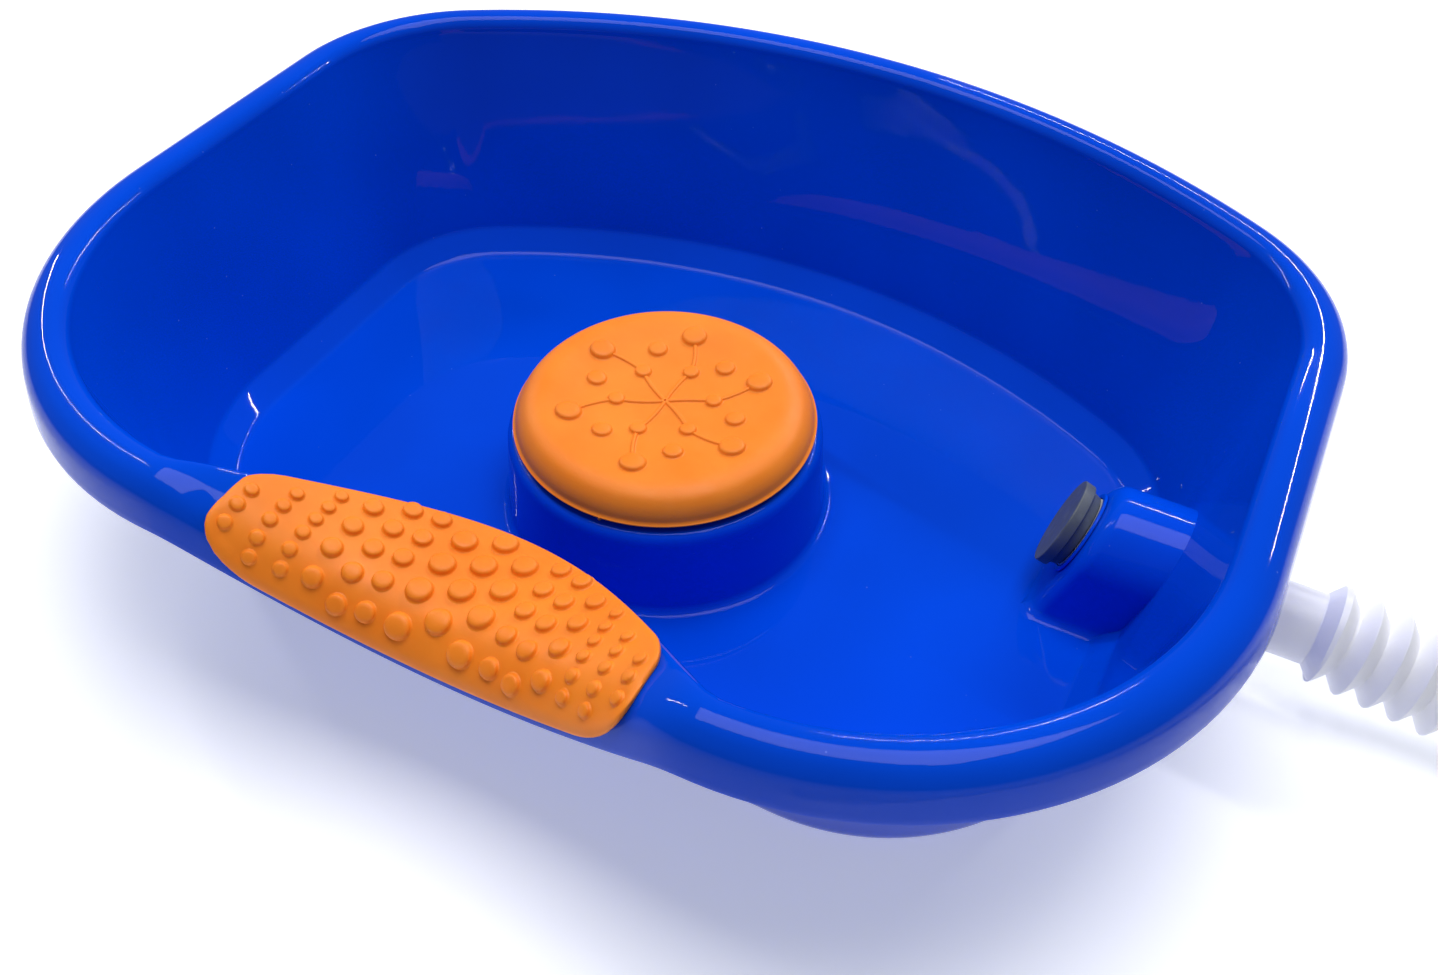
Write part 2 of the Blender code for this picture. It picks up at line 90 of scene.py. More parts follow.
# a stretch of outline belongs to the front where its normal's Y is below this
FRONT_FACING = -0.6

# outward step, height from the rim's top, share of the saddle's inward reach
RIM_OVER = [(-18.5, -7.5, 1.0), (-17.5, -3.7, 1.0), (-14.8, -1.0, 0.95), (-11.0, 0.0, 0.6),
            (-7.0, -0.3, 0.25), (-3.0, -1.9, 0.05), (0.2, -4.8, 0.0), (2.3, -9.2, 0.0), (4.4, -20.0, 0.0)]
RIM_UNDER = [(4.3, -21.2, 0.0), (3.2, -21.7, 0.0), (2.2, -21.2, 0.0), (0.2, -10.2, 0.0), (-1.8, -6.9, 0.0),
             (-4.5, -4.8, 0.1), (-8.0, -3.4, 0.3), (-11.0, -3.1, 0.6), (-13.6, -4.2, 0.95),
             (-15.2, -8.0, 1.0)]
# outward step and height above the floor surface
FLOOR_FILLET = [(-14.0, 0.0), (-8.6, 0.05), (-6.4, 0.6), (-4.6, 2.0), (2.9, 9.4), (4.4, 11.4), (5.5, 14.6)]
BASE_FILLET = [(9.0, 11.0), (7.2, 4.0), (4.4, -1.8), (1.0, -5.6), (-1.2, -7.0), (-6.2, -7.0), (-7.2, -3.0)]

PAD_HALF = 89.5
PAD_THICK = 4.1
# how far the pad's edges stay from the section's ends, and the radii of its corners
PAD_INNER_GAP = 7.4
PAD_INNER_CORNER = 9.0
PAD_OUTER_GAP = 4.5
PAD_OUTER_CORNER = 20.0
# distance from the middle, rows, first row, pitch, radius and height of the nubs
NUB_COLUMNS = [(0.0, 4, -148.5, 14.0, 5.2, 2.6), (13.8, 4, -155.5, 14.0, 5.2, 2.6),
               (27.4, 5, -151.5, 11.8, 4.0, 2.2), (38.5, 5, -154.5, 11.8, 4.0, 2.2),
               (50.0, 4, -163.0, 11.8, 4.0, 2.2), (61.2, 6, -167.0, 7.1, 2.7, 1.7),
               (72.3, 5, -177.5, 7.1, 2.7, 1.7), (83.4, 3, -187.5, 7.1, 2.7, 1.7)]
STEMS = [(-62.0, -190.0), (-22.0, -182.0), (22.0, -182.0), (62.0, -190.0)]
STEM_RADIUS = 3.1
STEM_GAP = 0.4
FOOT_X = 165.0
FOOT_FRONT = -98.0
FOOT_BACK = 78.0

# centre line of the hose, the same points as in the CAD source
HOSE_ROUTE = [(293.4, 14, 35.5), (298, 14, 35.5), (349, 14, 29), (400, 10, 23.5), (448, -4, 23.2),
              (492, -30, 23.2), (527, -66, 23.2), (551, -111, 23.2), (562, -161, 23.2), (560, -211, 23.2),
              (544, -260, 23.2), (517, -302, 23.2), (479, -336, 23.2), (433, -358, 23.2), (383, -368, 23.2),
              (333, -369, 23.2), (282, -368, 23.2), (231, -367, 23.2)]

# the photographed view
CAMERA_AT = (225.5, -413.0, 483.3)
CAMERA_AIM = (38.8, -42.8, 49.6)
CAMERA_ROLL = math.radians(0.88)
CAMERA_LENS = 33.39
# where the lights point, in metres
LIGHT_AIM = (0.0, 0.0, 0.05)


# ---------------------------------------------------------------- mesh helpers

def smooth(points, spans):
    """Points on a smooth curve through the given ones."""
    gaps = [math.dist(a, b) for a, b in zip(points, points[1:])]
    last = len(points) - 1
    speeds = []
    for i in range(last + 1):
        low, high = max(i - 1, 0), min(i + 1, last)
        span = sum(gaps[low:high])
        speeds.append([(b - a) / span for a, b in zip(points[low], points[high])])
    line = []
    for i in range(last):
        for k in range(spans):
            t = k / spans
            line.append(hermite(points[i], points[i + 1], speeds[i], speeds[i + 1], gaps[i], t))
    line.append(tuple(points[-1]))
    return line


def hermite(start, end, leave, arrive, size, t):
    """Point at t on the curve that leaves and arrives with these directions."""
    return tuple((2 * t ** 3 - 3 * t * t + 1) * p + (t ** 3 - 2 * t * t + t) * size * u
                 + (3 * t * t - 2 * t ** 3) * q + (t ** 3 - t * t) * size * v
                 for p, q, u, v in zip(start, end, leave, arrive))


def solid(name, points, faces, stuff, crease=CREASE):
    """Smooth-shaded object from millimetre points, faces turned outwards."""
    mesh = bpy.data.meshes.new(name)
    mesh.from_pydata([Vector(p) * MM for p in points], [], faces)
    work = bmesh.new()
    work.from_mesh(mesh)
    bmesh.ops.recalc_face_normals(work, faces=work.faces)
    work.to_mesh(mesh)
    work.free()
    thing = bpy.data.objects.new(name, mesh)
    bpy.context.scene.collection.objects.link(thing)
    mesh.materials.append(stuff)
    shade(mesh, crease)
    return thing


def shade(mesh, crease):
    """Smooth shading, with edges sharper than the crease angle left hard."""
    mesh.shade_smooth()
    mesh.set_sharp_from_angle(angle=math.radians(crease))


def loft(name, rings, stuff, crease=CREASE):
    """Join rings of equal length in order and cap both ends."""
    count = len(rings[0])
    points = [p for ring in rings for p in ring]
    faces = []
    for r in range(len(rings) - 1):
        low, high = r * count, (r + 1) * count
        for i in range(count):
            j = (i + 1) % count
            faces.append((low + i, low + j, high + j, high + i))
    last = (len(rings) - 1) * count
    faces.append(tuple(range(count))[::-1])
    faces.append(tuple(range(last, last + count)))
    return solid(name, points, faces, stuff, crease)


def turned(name, profile, steps, stuff, place=None, lift=None, crease=CREASE):
    """Turn a closed (radius, height) outline about Z; lift adds height by place on the surface."""
    points, index = [], []
    for radius, height in profile:
        if radius < 1e-6:
            index.append([len(points)] * steps)
            points.append((0.0, 0.0, height))
        else:
            index.append(list(range(len(points), len(points) + steps)))
            for k in range(steps):
                a = 2 * math.pi * k / steps
                points.append((radius * math.cos(a), radius * math.sin(a), height))
    faces = []
    for r in range(len(profile)):
        low, high = index[r], index[(r + 1) % len(profile)]
        for k in range(steps):
            m = (k + 1) % steps
            corners = []
            for c in (low[k], low[m], high[m], high[k]):
                if c not in corners:
                    corners.append(c)
            if len(corners) > 2:
                faces.append(tuple(corners))
    if place:
        points = [tuple(place @ Vector(p)) for p in points]
    if lift:
        points = [(x, y, z + lift(x, y)) for x, y, z in points]
    return solid(name, points, faces, stuff, crease)


def rounded(profile, radius):
    """Closed outline with its sharp corners rounded."""
    result, steps = [], 3
    for i, here in enumerate(profile):
        before, after = profile[i - 1], profile[(i + 1) % len(profile)]
        a, b = math.dist(here, before), math.dist(here, after)
        if here[0] < 1e-6 or min(a, b) < 1e-6:
            result.append(here)
            continue
        size = min(radius, a * 0.4, b * 0.4)
        first = [p + (q - p) * size / a for p, q in zip(here, before)]
        final = [p + (q - p) * size / b for p, q in zip(here, after)]
        for k in range(steps + 1):
            t = k / steps
            result.append(tuple((1 - t) ** 2 * p + 2 * t * (1 - t) * q + t * t * r
                                for p, q, r in zip(first, here, final)))
    return result


def combine(target, cutter, operation):
    """Union, difference or intersection; the cutter is used up."""
    modifier = target.modifiers.new("cut", "BOOLEAN")
    modifier.operation = operation
    modifier.solver = "EXACT"
    modifier.object = cutter
    bpy.context.view_layer.update()
    view = bpy.context.evaluated_depsgraph_get()
    mesh = bpy.data.meshes.new_from_object(target.evaluated_get(view))
    target.modifiers.clear()
    target.data = mesh
    bpy.data.objects.remove(cutter, do_unlink=True)
    shade(mesh, CREASE)


def joined(name, things, crease=CREASE):
    """One object made of several."""
    work = bmesh.new()
    for thing in things:
        work.from_mesh(thing.data)
    mesh = bpy.data.meshes.new(name)
    work.to_mesh(mesh)
    work.free()
    mesh.materials.append(things[0].data.materials[0])
    for thing in things:
        bpy.data.objects.remove(thing, do_unlink=True)
    result = bpy.data.objects.new(name, mesh)
    bpy.context.scene.collection.objects.link(result)
    shade(mesh, crease)
    return result


def finish_piece(thing, body, slot, *nodes):
    """The piece stands for these CAD nodes and rides on the body; the slot is not used."""
    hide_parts(*nodes)
    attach(thing, body)
    return thing


# ---------------------------------------------------------------- materials

class Nodes:
    """Builds a Principled material from linked nodes."""

    def __init__(self, name, colour, roughness):
        self.material = bpy.data.materials.new(name)
        self.material.use_nodes = True
        self.tree = self.material.node_tree
        self.shader = self.tree.nodes["Principled BSDF"]
        self.shader.inputs["Base Color"].default_value = (*colour, 1.0)
        self.shader.inputs["Roughness"].default_value = roughness
        self.place = self.add("ShaderNodeTexCoord").outputs["Object"]

    def add(self, kind, **values):
        """New node with these attributes."""
        node = self.tree.nodes.new(kind)
        for key, value in values.items():
            setattr(node, key, value)
        return node

    def noise(self, scale, detail=3.0):
        """Cloudy 0..1 pattern; scale is its number of features in a metre."""
        noise = self.add("ShaderNodeTexNoise")
        noise.inputs["Scale"].default_value = scale
        noise.inputs["Detail"].default_value = detail
        self.tree.links.new(self.place, noise.inputs["Vector"])
        return noise.outputs["Fac"]

    def specks(self, scale, size):
        """1 on small scattered dots, 0 elsewhere."""
        cells = self.add("ShaderNodeTexVoronoi")
        cells.inputs["Scale"].default_value = scale
        self.tree.links.new(self.place, cells.inputs["Vector"])
        return self.ramp(cells.outputs["Distance"], [(0.0, 1.0), (size, 0.0)])

    def ramp(self, source, stops):
        """Map 0..1 to grey levels or colours."""
        ramp = self.add("ShaderNodeValToRGB")
        elements = ramp.color_ramp.elements
        for k, (place, value) in enumerate(stops):
            stop = elements[k] if k < 2 else elements.new(place)
            stop.position = place
            stop.color = (value, value, value, 1.0) if isinstance(value, float) else (*value, 1.0)
        self.tree.links.new(source, ramp.inputs["Fac"])
        return ramp.outputs["Color"]

    def mix(self, factor, first, second):
        """Second colour over the first, by a factor of 0..1."""
        mix = self.add("ShaderNodeMix", data_type="RGBA")
        for socket, value in (("Factor", factor), ("A", first), ("B", second)):
            self.feed(mix.inputs[socket], value)
        return mix.outputs["Result"]

    def feed(self, socket, value):
        """Link the value when it is a socket, else set it."""
        if isinstance(value, bpy.types.NodeSocket):
            self.tree.links.new(value, socket)
        elif isinstance(value, tuple):
            socket.default_value = (*value, 1.0)
        else:
            socket.default_value = value

    def drive(self, name, source):
        """Link a source to the shader's input of this name."""
        self.tree.links.new(source, self.shader.inputs[name])

    def bump(self, source, strength, distance):
        """Add relief; a second call lies on top of the first."""
        bump = self.add("ShaderNodeBump")
        bump.inputs["Strength"].default_value = strength
        bump.inputs["Distance"].default_value = distance
        self.tree.links.new(source, bump.inputs["Height"])
        normal = self.shader.inputs["Normal"]
        if normal.is_linked:
            self.tree.links.new(normal.links[0].from_socket, bump.inputs["Normal"])
        self.tree.links.new(bump.outputs["Normal"], normal)


def blue_plastic():
    """High-gloss moulded plastic: faint orange peel, soft flow marks and a few specks of dust."""
    look = Nodes("glossy blue plastic", (0.0, 0.06, 0.62), 0.1)
    flow = look.ramp(look.noise(9.0, 2.0), [(0.35, (0.0, 0.054, 0.58)), (0.7, (0.0, 0.064, 0.67))])
    dust = look.specks(70.0, 0.035)
    look.drive("Base Color", look.mix(dust, flow, (0.10, 0.20, 0.75)))
    look.drive("Roughness", look.ramp(look.noise(35.0), [(0.3, 0.02), (0.75, 0.05)]))
    look.bump(look.noise(220.0, 2.0), 0.03, 0.0003)
    look.shader.inputs["Specular IOR Level"].default_value = 0.12
    return look.material


def orange_rubber():
    """Soft matt rubber with a fine moulded grain and slightly uneven bloom."""
    look = Nodes("orange soft rubber", (0.90, 0.19, 0.012), 0.5)
    tone = look.ramp(look.noise(28.0, 4.0), [(0.3, (0.89, 0.215, 0.009)), (0.7, (0.96, 0.255, 0.014))])
    bloom = look.noise(160.0, 5.0)
    look.drive("Base Color", look.mix(look.ramp(bloom, [(0.55, 0.0), (0.8, 0.18)]), tone, (0.96, 0.29, 0.05)))
    look.drive("Roughness", look.ramp(look.noise(60.0), [(0.3, 0.42), (0.7, 0.56)]))
    look.bump(look.noise(1400.0, 2.0), 0.16, 0.0003)
    look.bump(look.noise(90.0, 2.0), 0.06, 0.0008)
    look.shader.inputs["Specular IOR Level"].default_value = 0.3
    look.shader.inputs["Subsurface Weight"].default_value = 0.12
    look.shader.inputs["Subsurface Radius"].default_value = (0.004, 0.0015, 0.0006)
    return look.material


def grey_rubber():
    """Dull grey rubber with pale dusty scuffs."""
    look = Nodes("grey rubber", (0.085, 0.10, 0.12), 0.55)
    scuffs = look.ramp(look.noise(130.0, 6.0), [(0.5, 0.0), (0.8, 0.6)])
    look.drive("Base Color", look.mix(scuffs, (0.075, 0.09, 0.11), (0.15, 0.17, 0.18)))
    look.drive("Roughness", look.ramp(look.noise(70.0), [(0.3, 0.45), (0.7, 0.65)]))
    look.bump(look.noise(1200.0, 3.0), 0.25, 0.0003)
    return look.material


def white_plastic():
    """Blown white polyethylene: satin, a little translucent, cool in the folds."""
    look = Nodes("white hose plastic", (0.83, 0.83, 0.90), 0.4)
    tone = look.ramp(look.noise(24.0, 4.0), [(0.3, (0.82, 0.82, 0.89)), (0.7, (0.89, 0.89, 0.94))])
    look.drive("Base Color", tone)
    look.drive("Roughness", look.ramp(look.noise(80.0), [(0.3, 0.34), (0.7, 0.48)]))
    look.bump(look.noise(500.0, 3.0), 0.12, 0.0004)
    look.shader.inputs["Subsurface Weight"].default_value = 0.25
    look.shader.inputs["Subsurface Radius"].default_value = (0.004, 0.004, 0.005)
    return look.material


def black_rubber():
    """Black rubber with a little pale dust."""
    look = Nodes("black rubber", (0.02, 0.02, 0.022), 0.6)
    dust = look.ramp(look.noise(90.0, 5.0), [(0.5, (0.014, 0.014, 0.015)), (0.85, (0.055, 0.055, 0.06))])
    look.drive("Base Color", dust)
    look.drive("Roughness", look.ramp(look.noise(60.0), [(0.3, 0.5), (0.7, 0.75)]))
    look.bump(look.noise(1000.0, 2.0), 0.2, 0.0002)
    return look.material


def floor_paper():
    """White backdrop paper, lit a little from behind."""
    look = Nodes("studio paper", (0.9, 0.9, 0.91), 0.7)
    tone = look.ramp(look.noise(3.0, 3.0), [(0.2, (0.93, 0.93, 0.94)), (0.8, (0.96, 0.96, 0.965))])
    look.drive("Base Color", tone)
    look.shader.inputs["Emission Color"].default_value = (0.93, 0.96, 1.0, 1.0)
    look.shader.inputs["Emission Strength"].default_value = 0.37
    return look.material


# ---------------------------------------------------------------- camera, floor and light

def make_camera():
    """Camera above the front right, where the photograph was taken from."""
    camera = bpy.data.objects.new("camera", bpy.data.cameras.new("camera"))
    camera.data.lens = CAMERA_LENS
    camera.data.sensor_width = 36.0
    camera.data.clip_start = 0.01
    camera.location = Vector(CAMERA_AT) * MM
    looking = Vector(CAMERA_AIM) - Vector(CAMERA_AT)
    turn = looking.to_track_quat("-Z", "Y").to_matrix() @ Matrix.Rotation(CAMERA_ROLL, 3, "Z")
    camera.rotation_euler = turn.to_euler()
    bpy.context.scene.collection.objects.link(camera)
    bpy.context.scene.camera = camera


def make_floor():
    """Level sheet of paper, 40 m across."""
    half = 20000.0
    corners = [(x * half, y * half, 0.0) for x, y in ((-1, -1), (1, -1), (1, 1), (-1, 1))]
    mesh = bpy.data.meshes.new("floor")
    mesh.from_pydata([Vector(c) * MM for c in corners], [], [(0, 1, 2, 3)])
    mesh.materials.append(floor_paper())
    floor = bpy.data.objects.new("floor", mesh)
    bpy.context.scene.collection.objects.link(floor)


def area_light(name, place, width, height, power):
    """Rectangle of light that faces the basin; place and size in metres."""
    light = bpy.data.lights.new(name, "AREA")
    light.shape = "RECTANGLE"
    light.size, light.size_y = width, height
    light.energy = power
    thing = bpy.data.objects.new(name, light)
    thing.location = place
    thing.rotation_euler = (Vector(LIGHT_AIM) - Vector(place)).to_track_quat("-Z", "Y").to_euler()
    bpy.context.scene.collection.objects.link(thing)


def make_light():
    """Dim room, soft ceiling light, and thin strips behind and left of the basin that draw the glints."""
    world = bpy.data.worlds.new("studio")
    world.use_nodes = True
    world.node_tree.nodes["Background"].inputs["Color"].default_value = (0.85, 0.92, 1.0, 1.0)
    world.node_tree.nodes["Background"].inputs["Strength"].default_value = 0.18
    bpy.context.scene.world = world
    area_light("ceiling", (0.0, 0.2, 2.1), width=1.7, height=1.2, power=34.0)
    area_light("strip_back", (0.35, 1.6, 1.25), width=1.7, height=0.025, power=18.0)
    area_light("strip_left", (-1.7, 0.5, 1.3), width=0.025, height=1.3, power=9.0)
    bpy.context.scene.view_settings.view_transform = "Standard"


# ---------------------------------------------------------------- hose and its fittings

def hose_frame(x):
    """Matrix with Z along the hose where it leaves the spigot."""
    return Matrix.Translation((x, HOUSING_Y, SPIGOT_Z)) @ Matrix.Rotation(math.radians(90), 4, "Y")


def tube_rings(path, radii, count):
    """Rings square to a path; they don't twist."""
    rings = []
    up = Vector((0.0, 0.0, 1.0))
    for i, here in enumerate(path):
        along = (Vector(path[min(i + 1, len(path) - 1)]) - Vector(path[max(i - 1, 0)])).normalized()
        side = up.cross(along).normalized()
        lift = along.cross(side)
        rings.append([tuple(Vector(here) + radii[i] * (side * math.cos(2 * math.pi * k / count)
                                                       + lift * math.sin(2 * math.pi * k / count)))
                      for k in range(count)])
    return rings


def resample(line, shares):
    """Points at these shares of the line's length."""
    lengths = [0.0]
    for a, b in zip(line, line[1:]):
        lengths.append(lengths[-1] + math.dist(a, b))
    result, i = [], 0
    for share in shares:
        want = share * lengths[-1]
        while i < len(line) - 2 and lengths[i + 1] < want:
            i += 1
        t = (want - lengths[i]) / (lengths[i + 1] - lengths[i])
        result.append(tuple(p + (q - p) * t for p, q in zip(line[i], line[i + 1])))
    return result


def make_hose(stuff):
    """Corrugated hose: sharp ridges and valleys that repeat along the route."""
    line = smooth(HOSE_ROUTE, 10)
    length = sum(math.dist(a, b) for a, b in zip(line, line[1:]))
    folds = round(length / HOSE_PITCH)
    # share of a fold along the hose, and share of the ridge's height there
    fold = [(0.0, 0.0), (0.05, 0.04), (0.44, 0.94), (0.5, 1.0), (0.56, 0.94), (0.95, 0.04)]
    shares, radii = [], []
    for k in range(folds):
        for place, rise in fold:
            shares.append((k + place) / folds)
            radii.append(HOSE_VALLEY + (HOSE_RIDGE - HOSE_VALLEY) * rise)
    shares.append(1.0)
    radii.append(HOSE_VALLEY)
    path = resample(line, shares)
    hose = loft("corrugated_hose", tube_rings(path, radii, 40), stuff, crease=28)
    return hose, [Vector(p) * MM for p in path]


def cuff_profile(length):
    """Sleeve outline; it runs a little way into the hose's first valley."""
    outline = [(12.6, 0.0), (16.3, 0.0), (16.4, 8.0), (16.1, length + 0.8), (12.6, length + 0.8)]
    return rounded(outline, 0.5)


def make_hose_group(stuff, seal_stuff):
    """Hose, the sleeves on both its ends, and the band that holds the first on the spigot."""
    hose, path = make_hose(stuff)
    cuff = turned("hose_cuff_sleeve", cuff_profile(CUFF_END - CUFF_START), 48, stuff, hose_frame(CUFF_START))
    last, before = Vector(HOSE_ROUTE[-1]), Vector(HOSE_ROUTE[-2])
    along = (last - before).normalized()
    place = Matrix.Translation(last + along * 0.4) @ along.to_track_quat("Z", "Y").to_matrix().to_4x4()
    end = turned("hose_end_sleeve", cuff_profile(END_CUFF), 48, stuff, place)
    band = turned("hose_band", ring_profile(17.9, 1.1, BAND_X, 12), 48, seal_stuff, hose_frame(0.0))
    finish_piece(hose, "basin", "white_plastic", "drain_hose")
    finish_piece(cuff, "basin", "white_plastic", "hose_cuff")
    finish_piece(end, "basin", "white_plastic", "hose_end_cuff")
    finish_piece(band, "basin", "black_rubber", "spigot_seal_ring")


def ring_profile(major, minor, height, count):
    """Round section of a ring at this height."""
    angles = [2 * math.pi * k / count for k in range(count)]
    return [(major + minor * math.cos(a), height + minor * math.sin(a)) for a in angles]


# ---------------------------------------------------------------- outlines and rim section

def arc(cx, cy, radius, start, end, count):
    """Points along an arc, without its first one; angles in degrees."""
    angles = [math.radians(start + (end - start) * k / count) for k in range(1, count + 1)]
    return [(cx + radius * math.cos(a), cy + radius * math.sin(a)) for a in angles]


def plan(half, front, back, front_corner, back_corner, back_arc):
    """Mirror-symmetric outline: straight front, round corners, bowed back."""
    # the dipped front, the corners and the bow get many short spans, the straight sides a few
    side = half - front_corner
    run = half - back_corner
    arc_centre = back - back_arc
    corner_y = arc_centre + math.sqrt((back_arc - back_corner) ** 2 - run ** 2)
    turn = math.degrees(math.atan2(corner_y - arc_centre, run))
    right = [(side * k / 36, front) for k in range(37)]
    right += arc(side, front + front_corner, front_corner, -90, 0, 36)
    start_y = right[-1][1]
    right += [(half, start_y + (corner_y - start_y) * k / 12) for k in range(1, 13)]
    right += arc(run, corner_y, back_corner, 0, turn, 26)
    right += arc(0.0, arc_centre, back_arc, turn, 90, 30)
    left = [(-x, y) for x, y in reversed(right[1:-1])]
    return right + left


def normals(outline):
    """Outward unit vector at each point of an outline."""
    result = []
    for i, _ in enumerate(outline):
        ax, ay = outline[i - 1]
        bx, by = outline[(i + 1) % len(outline)]
        size = math.hypot(bx - ax, by - ay)
        result.append(((by - ay) / size, (ax - bx) / size))
    return result


RIM_OUTLINE = plan(**RIM_PLAN)
RIM_NORMALS = normals(RIM_OUTLINE)
FLOOR_OUTLINE = plan(**FLOOR_PLAN)
FLOOR_NORMALS = normals(FLOOR_OUTLINE)


def drop(x):
    """How far the rim dips below its normal height at this distance from the middle."""
    depth, blend = DIP_DEPTH - x * x / (2 * NECK_RADIUS), 6.0
    if depth > blend:
        return depth
    return max(0.0, depth + blend) ** 2 / (4 * blend)


def reach(x, depth, width):
    """Inward bulge that fades out at the given half width."""
    return depth * max(0.0, 1 - (x / width) ** 2) ** 1.3


def rim_ring(step, rise, share):
    """Ring round the rim, following its dip and the saddle's reach at the front."""
    ring = []
    for (x, y), (nx, ny) in zip(RIM_OUTLINE, RIM_NORMALS):
        dip = drop(x) if ny < FRONT_FACING else 0.0
        bulge = reach(x, SADDLE_REACH, SADDLE_HALF) * share if ny < FRONT_FACING else 0.0
        ring.append((x + nx * step, y + ny * step + DIP_LEAN * dip + bulge,
                     RIM_TOP - dip + rise - SADDLE_FALL * bulge))
    return ring


def floor_ring(step, rise):
    """Ring round the floor, with the front's inward reach."""
    ring = []
    for (x, y), (nx, ny) in zip(FLOOR_OUTLINE, FLOOR_NORMALS):
        bulge = reach(x, FLOOR_REACH, FLOOR_REACH_HALF) if ny < FRONT_FACING else 0.0
        ring.append((x + nx * step, y + ny * step + bulge, FLOOR_TOP + rise))
    return ring


def wall_rings(before, start, end, after, count):
    """Rings between start and end, leaving and arriving smoothly from the rings beyond them."""
    rings, pull = [], 0.6
    for k in range(1, count):
        ring = []
        for a, b, c, d in zip(before, start, end, after):
            leave = (Vector(b) - Vector(a)).normalized() * pull
            arrive = (Vector(d) - Vector(c)).normalized() * pull
            ring.append(hermite(b, c, leave, arrive, math.dist(b, c), k / count))
        rings.append(ring)
    return rings


RIM_LINE = smooth(RIM_OVER, 5)


def saddle_section(x):
    """(y, z) line over the dipped rim, from its inner edge to the foot of the skirt."""
    dip = drop(x)
    line = []
    for step, rise, share in RIM_LINE:
        bulge = reach(x, SADDLE_REACH, SADDLE_HALF) * share
        line.append((RIM_PLAN["front"] - step + DIP_LEAN * dip + bulge,
                     RIM_TOP - dip + rise - SADDLE_FALL * bulge))
    return line


def section_point(x, along, height=0.0):
    """Point at a length along the section, lifted off the surface."""
    line = saddle_section(x)
    for i in range(len(line) - 1):
        size = math.dist(line[i], line[i + 1])
        if along <= size or i == len(line) - 2:
            break
        along -= size
    t = along / size
    lifted = []
    for m in (i, i + 1):
        ay, az = line[max(m - 1, 0)]
        by, bz = line[min(m + 1, len(line) - 1)]
        span = math.dist((ay, az), (by, bz))
        y, z = line[m]
        lifted.append((y + (bz - az) / span * height, z - (by - ay) / span * height))
    (ay, az), (by, bz) = lifted
    return Vector((x, ay + (by - ay) * t, az + (bz - az) * t))


def section_length(x, y=None):
    """Length of the section from its inner edge to this y, or to the foot of the skirt."""
    line = saddle_section(x)
    total = 0.0
    for (ay, az), (by, bz) in zip(line, line[1:]):
        size = math.dist((ay, az), (by, bz))
        if y is not None and y >= by:
            return total + size * max(0.0, (ay - y) / (ay - by))
        total += size
    return total


# ---------------------------------------------------------------- basin

def bowl(stuff):
    """Floor, walls, rolled rim and skirt in one closed skin."""
    inside = [floor_ring(*spec) for spec in smooth(FLOOR_FILLET, 4)]
    over = [rim_ring(*spec) for spec in RIM_LINE]
    under = [rim_ring(*spec) for spec in smooth(RIM_UNDER, 3)]
    base = [floor_ring(*spec) for spec in smooth(BASE_FILLET, 3)]
    rings = inside + wall_rings(inside[-2], inside[-1], over[0], over[1], 10) + over + under
    rings += wall_rings(under[-2], under[-1], base[0], base[1], 10) + base
    return loft("basin_skin", rings, stuff)


def drum(stuff):
    """Raised drum under the head, hollow from below, with a filleted foot."""
    foot = 4.4
    outline = [(84.4, 9.0), (81.6, 9.93)]
    outline += [(80.6 - foot * math.sin(a), 9.93 + foot - foot * math.cos(a))
                for a in (math.radians(86 * k / 7) for k in range(1, 8))]
    outline += [(75.4, 25.0), (74.4, 38.0), (73.6, 50.0), (73.3, 52.4), (72.6, 54.2), (71.5, 55.6),
                (70.0, 56.2), (68.0, DRUM_TOP)]
    outline += [(SOCKET_RADIUS + 0.8, DRUM_TOP), (SOCKET_RADIUS, DRUM_TOP - 0.8),
                (SOCKET_RADIUS, SOCKET_BOTTOM), (0.0, SOCKET_BOTTOM),
                (0.0, SOCKET_BOTTOM - WALL), (20.0, SOCKET_BOTTOM - WALL),
                (20.0, DRUM_TOP - WALL), (67.5, DRUM_TOP - WALL), (70.6, 50.0), (73.0, 16.0),
                (74.0, 6.6), (77.5, 6.6)]
    return turned("drum", outline, 128, stuff, Matrix.Translation((0.0, HEAD_Y, 0.0)))


def housing(name, inset, low, right_at_low, right_slope, depth, stuff):
    """Arched drain housing with a sloping left face; depth moves that face inwards."""
    lean = math.tan(DRAIN_TILT)
    rings = []
    # the outer shape has a soft edge and a filleted foot, the hollow has neither
    soft, foot = (8.0, 4.5) if depth == 0 else (0.0, 0.0)
    turns = [math.radians(90 * k / 8) for k in range(9)] if soft else []
    edge = [(soft * (1 - math.sin(a)) * 0.8, soft * (1 - math.cos(a))) for a in reversed(turns)]
    heights = [low] + [FLOOR_TOP + foot * m for m in (0.0, 0.04, 0.14, 0.32, 0.6, 1.0)]
    heights += [20.0, 28.0, 36.0]
    for along, trim in (edge or [(0.0, 0.0)]) + [(None, 0.0)]:
        half = HOUSING_HALF - inset - trim
        line = [(half + 1.0 - z / HOUSING_AXIS + fillet(z, foot), z) for z in heights]
        line += [(half * math.cos(math.radians(a)), HOUSING_AXIS + half * math.sin(math.radians(a)))
                 for a in range(0, 181, 5)]
        line += [(-y, z) for y, z in reversed(line[:len(heights)])]
        ring = []
        for y, z in line:
            if along is None:
                x = right_at_low + right_slope * (z - low)
            else:
                x = SEAT[0] + (depth + along) / math.cos(DRAIN_TILT) + (z - SEAT[2]) * lean - fillet(z, foot)
            ring.append((x, HOUSING_Y + y, z))
        rings.append(ring)
    return loft(name, rings, stuff)


def cave(stuff):
    """The housing's hollow, open from below and through the wall."""
    return housing("cave", WALL, -1.0, 256.0, 0.0, WALL, stuff)


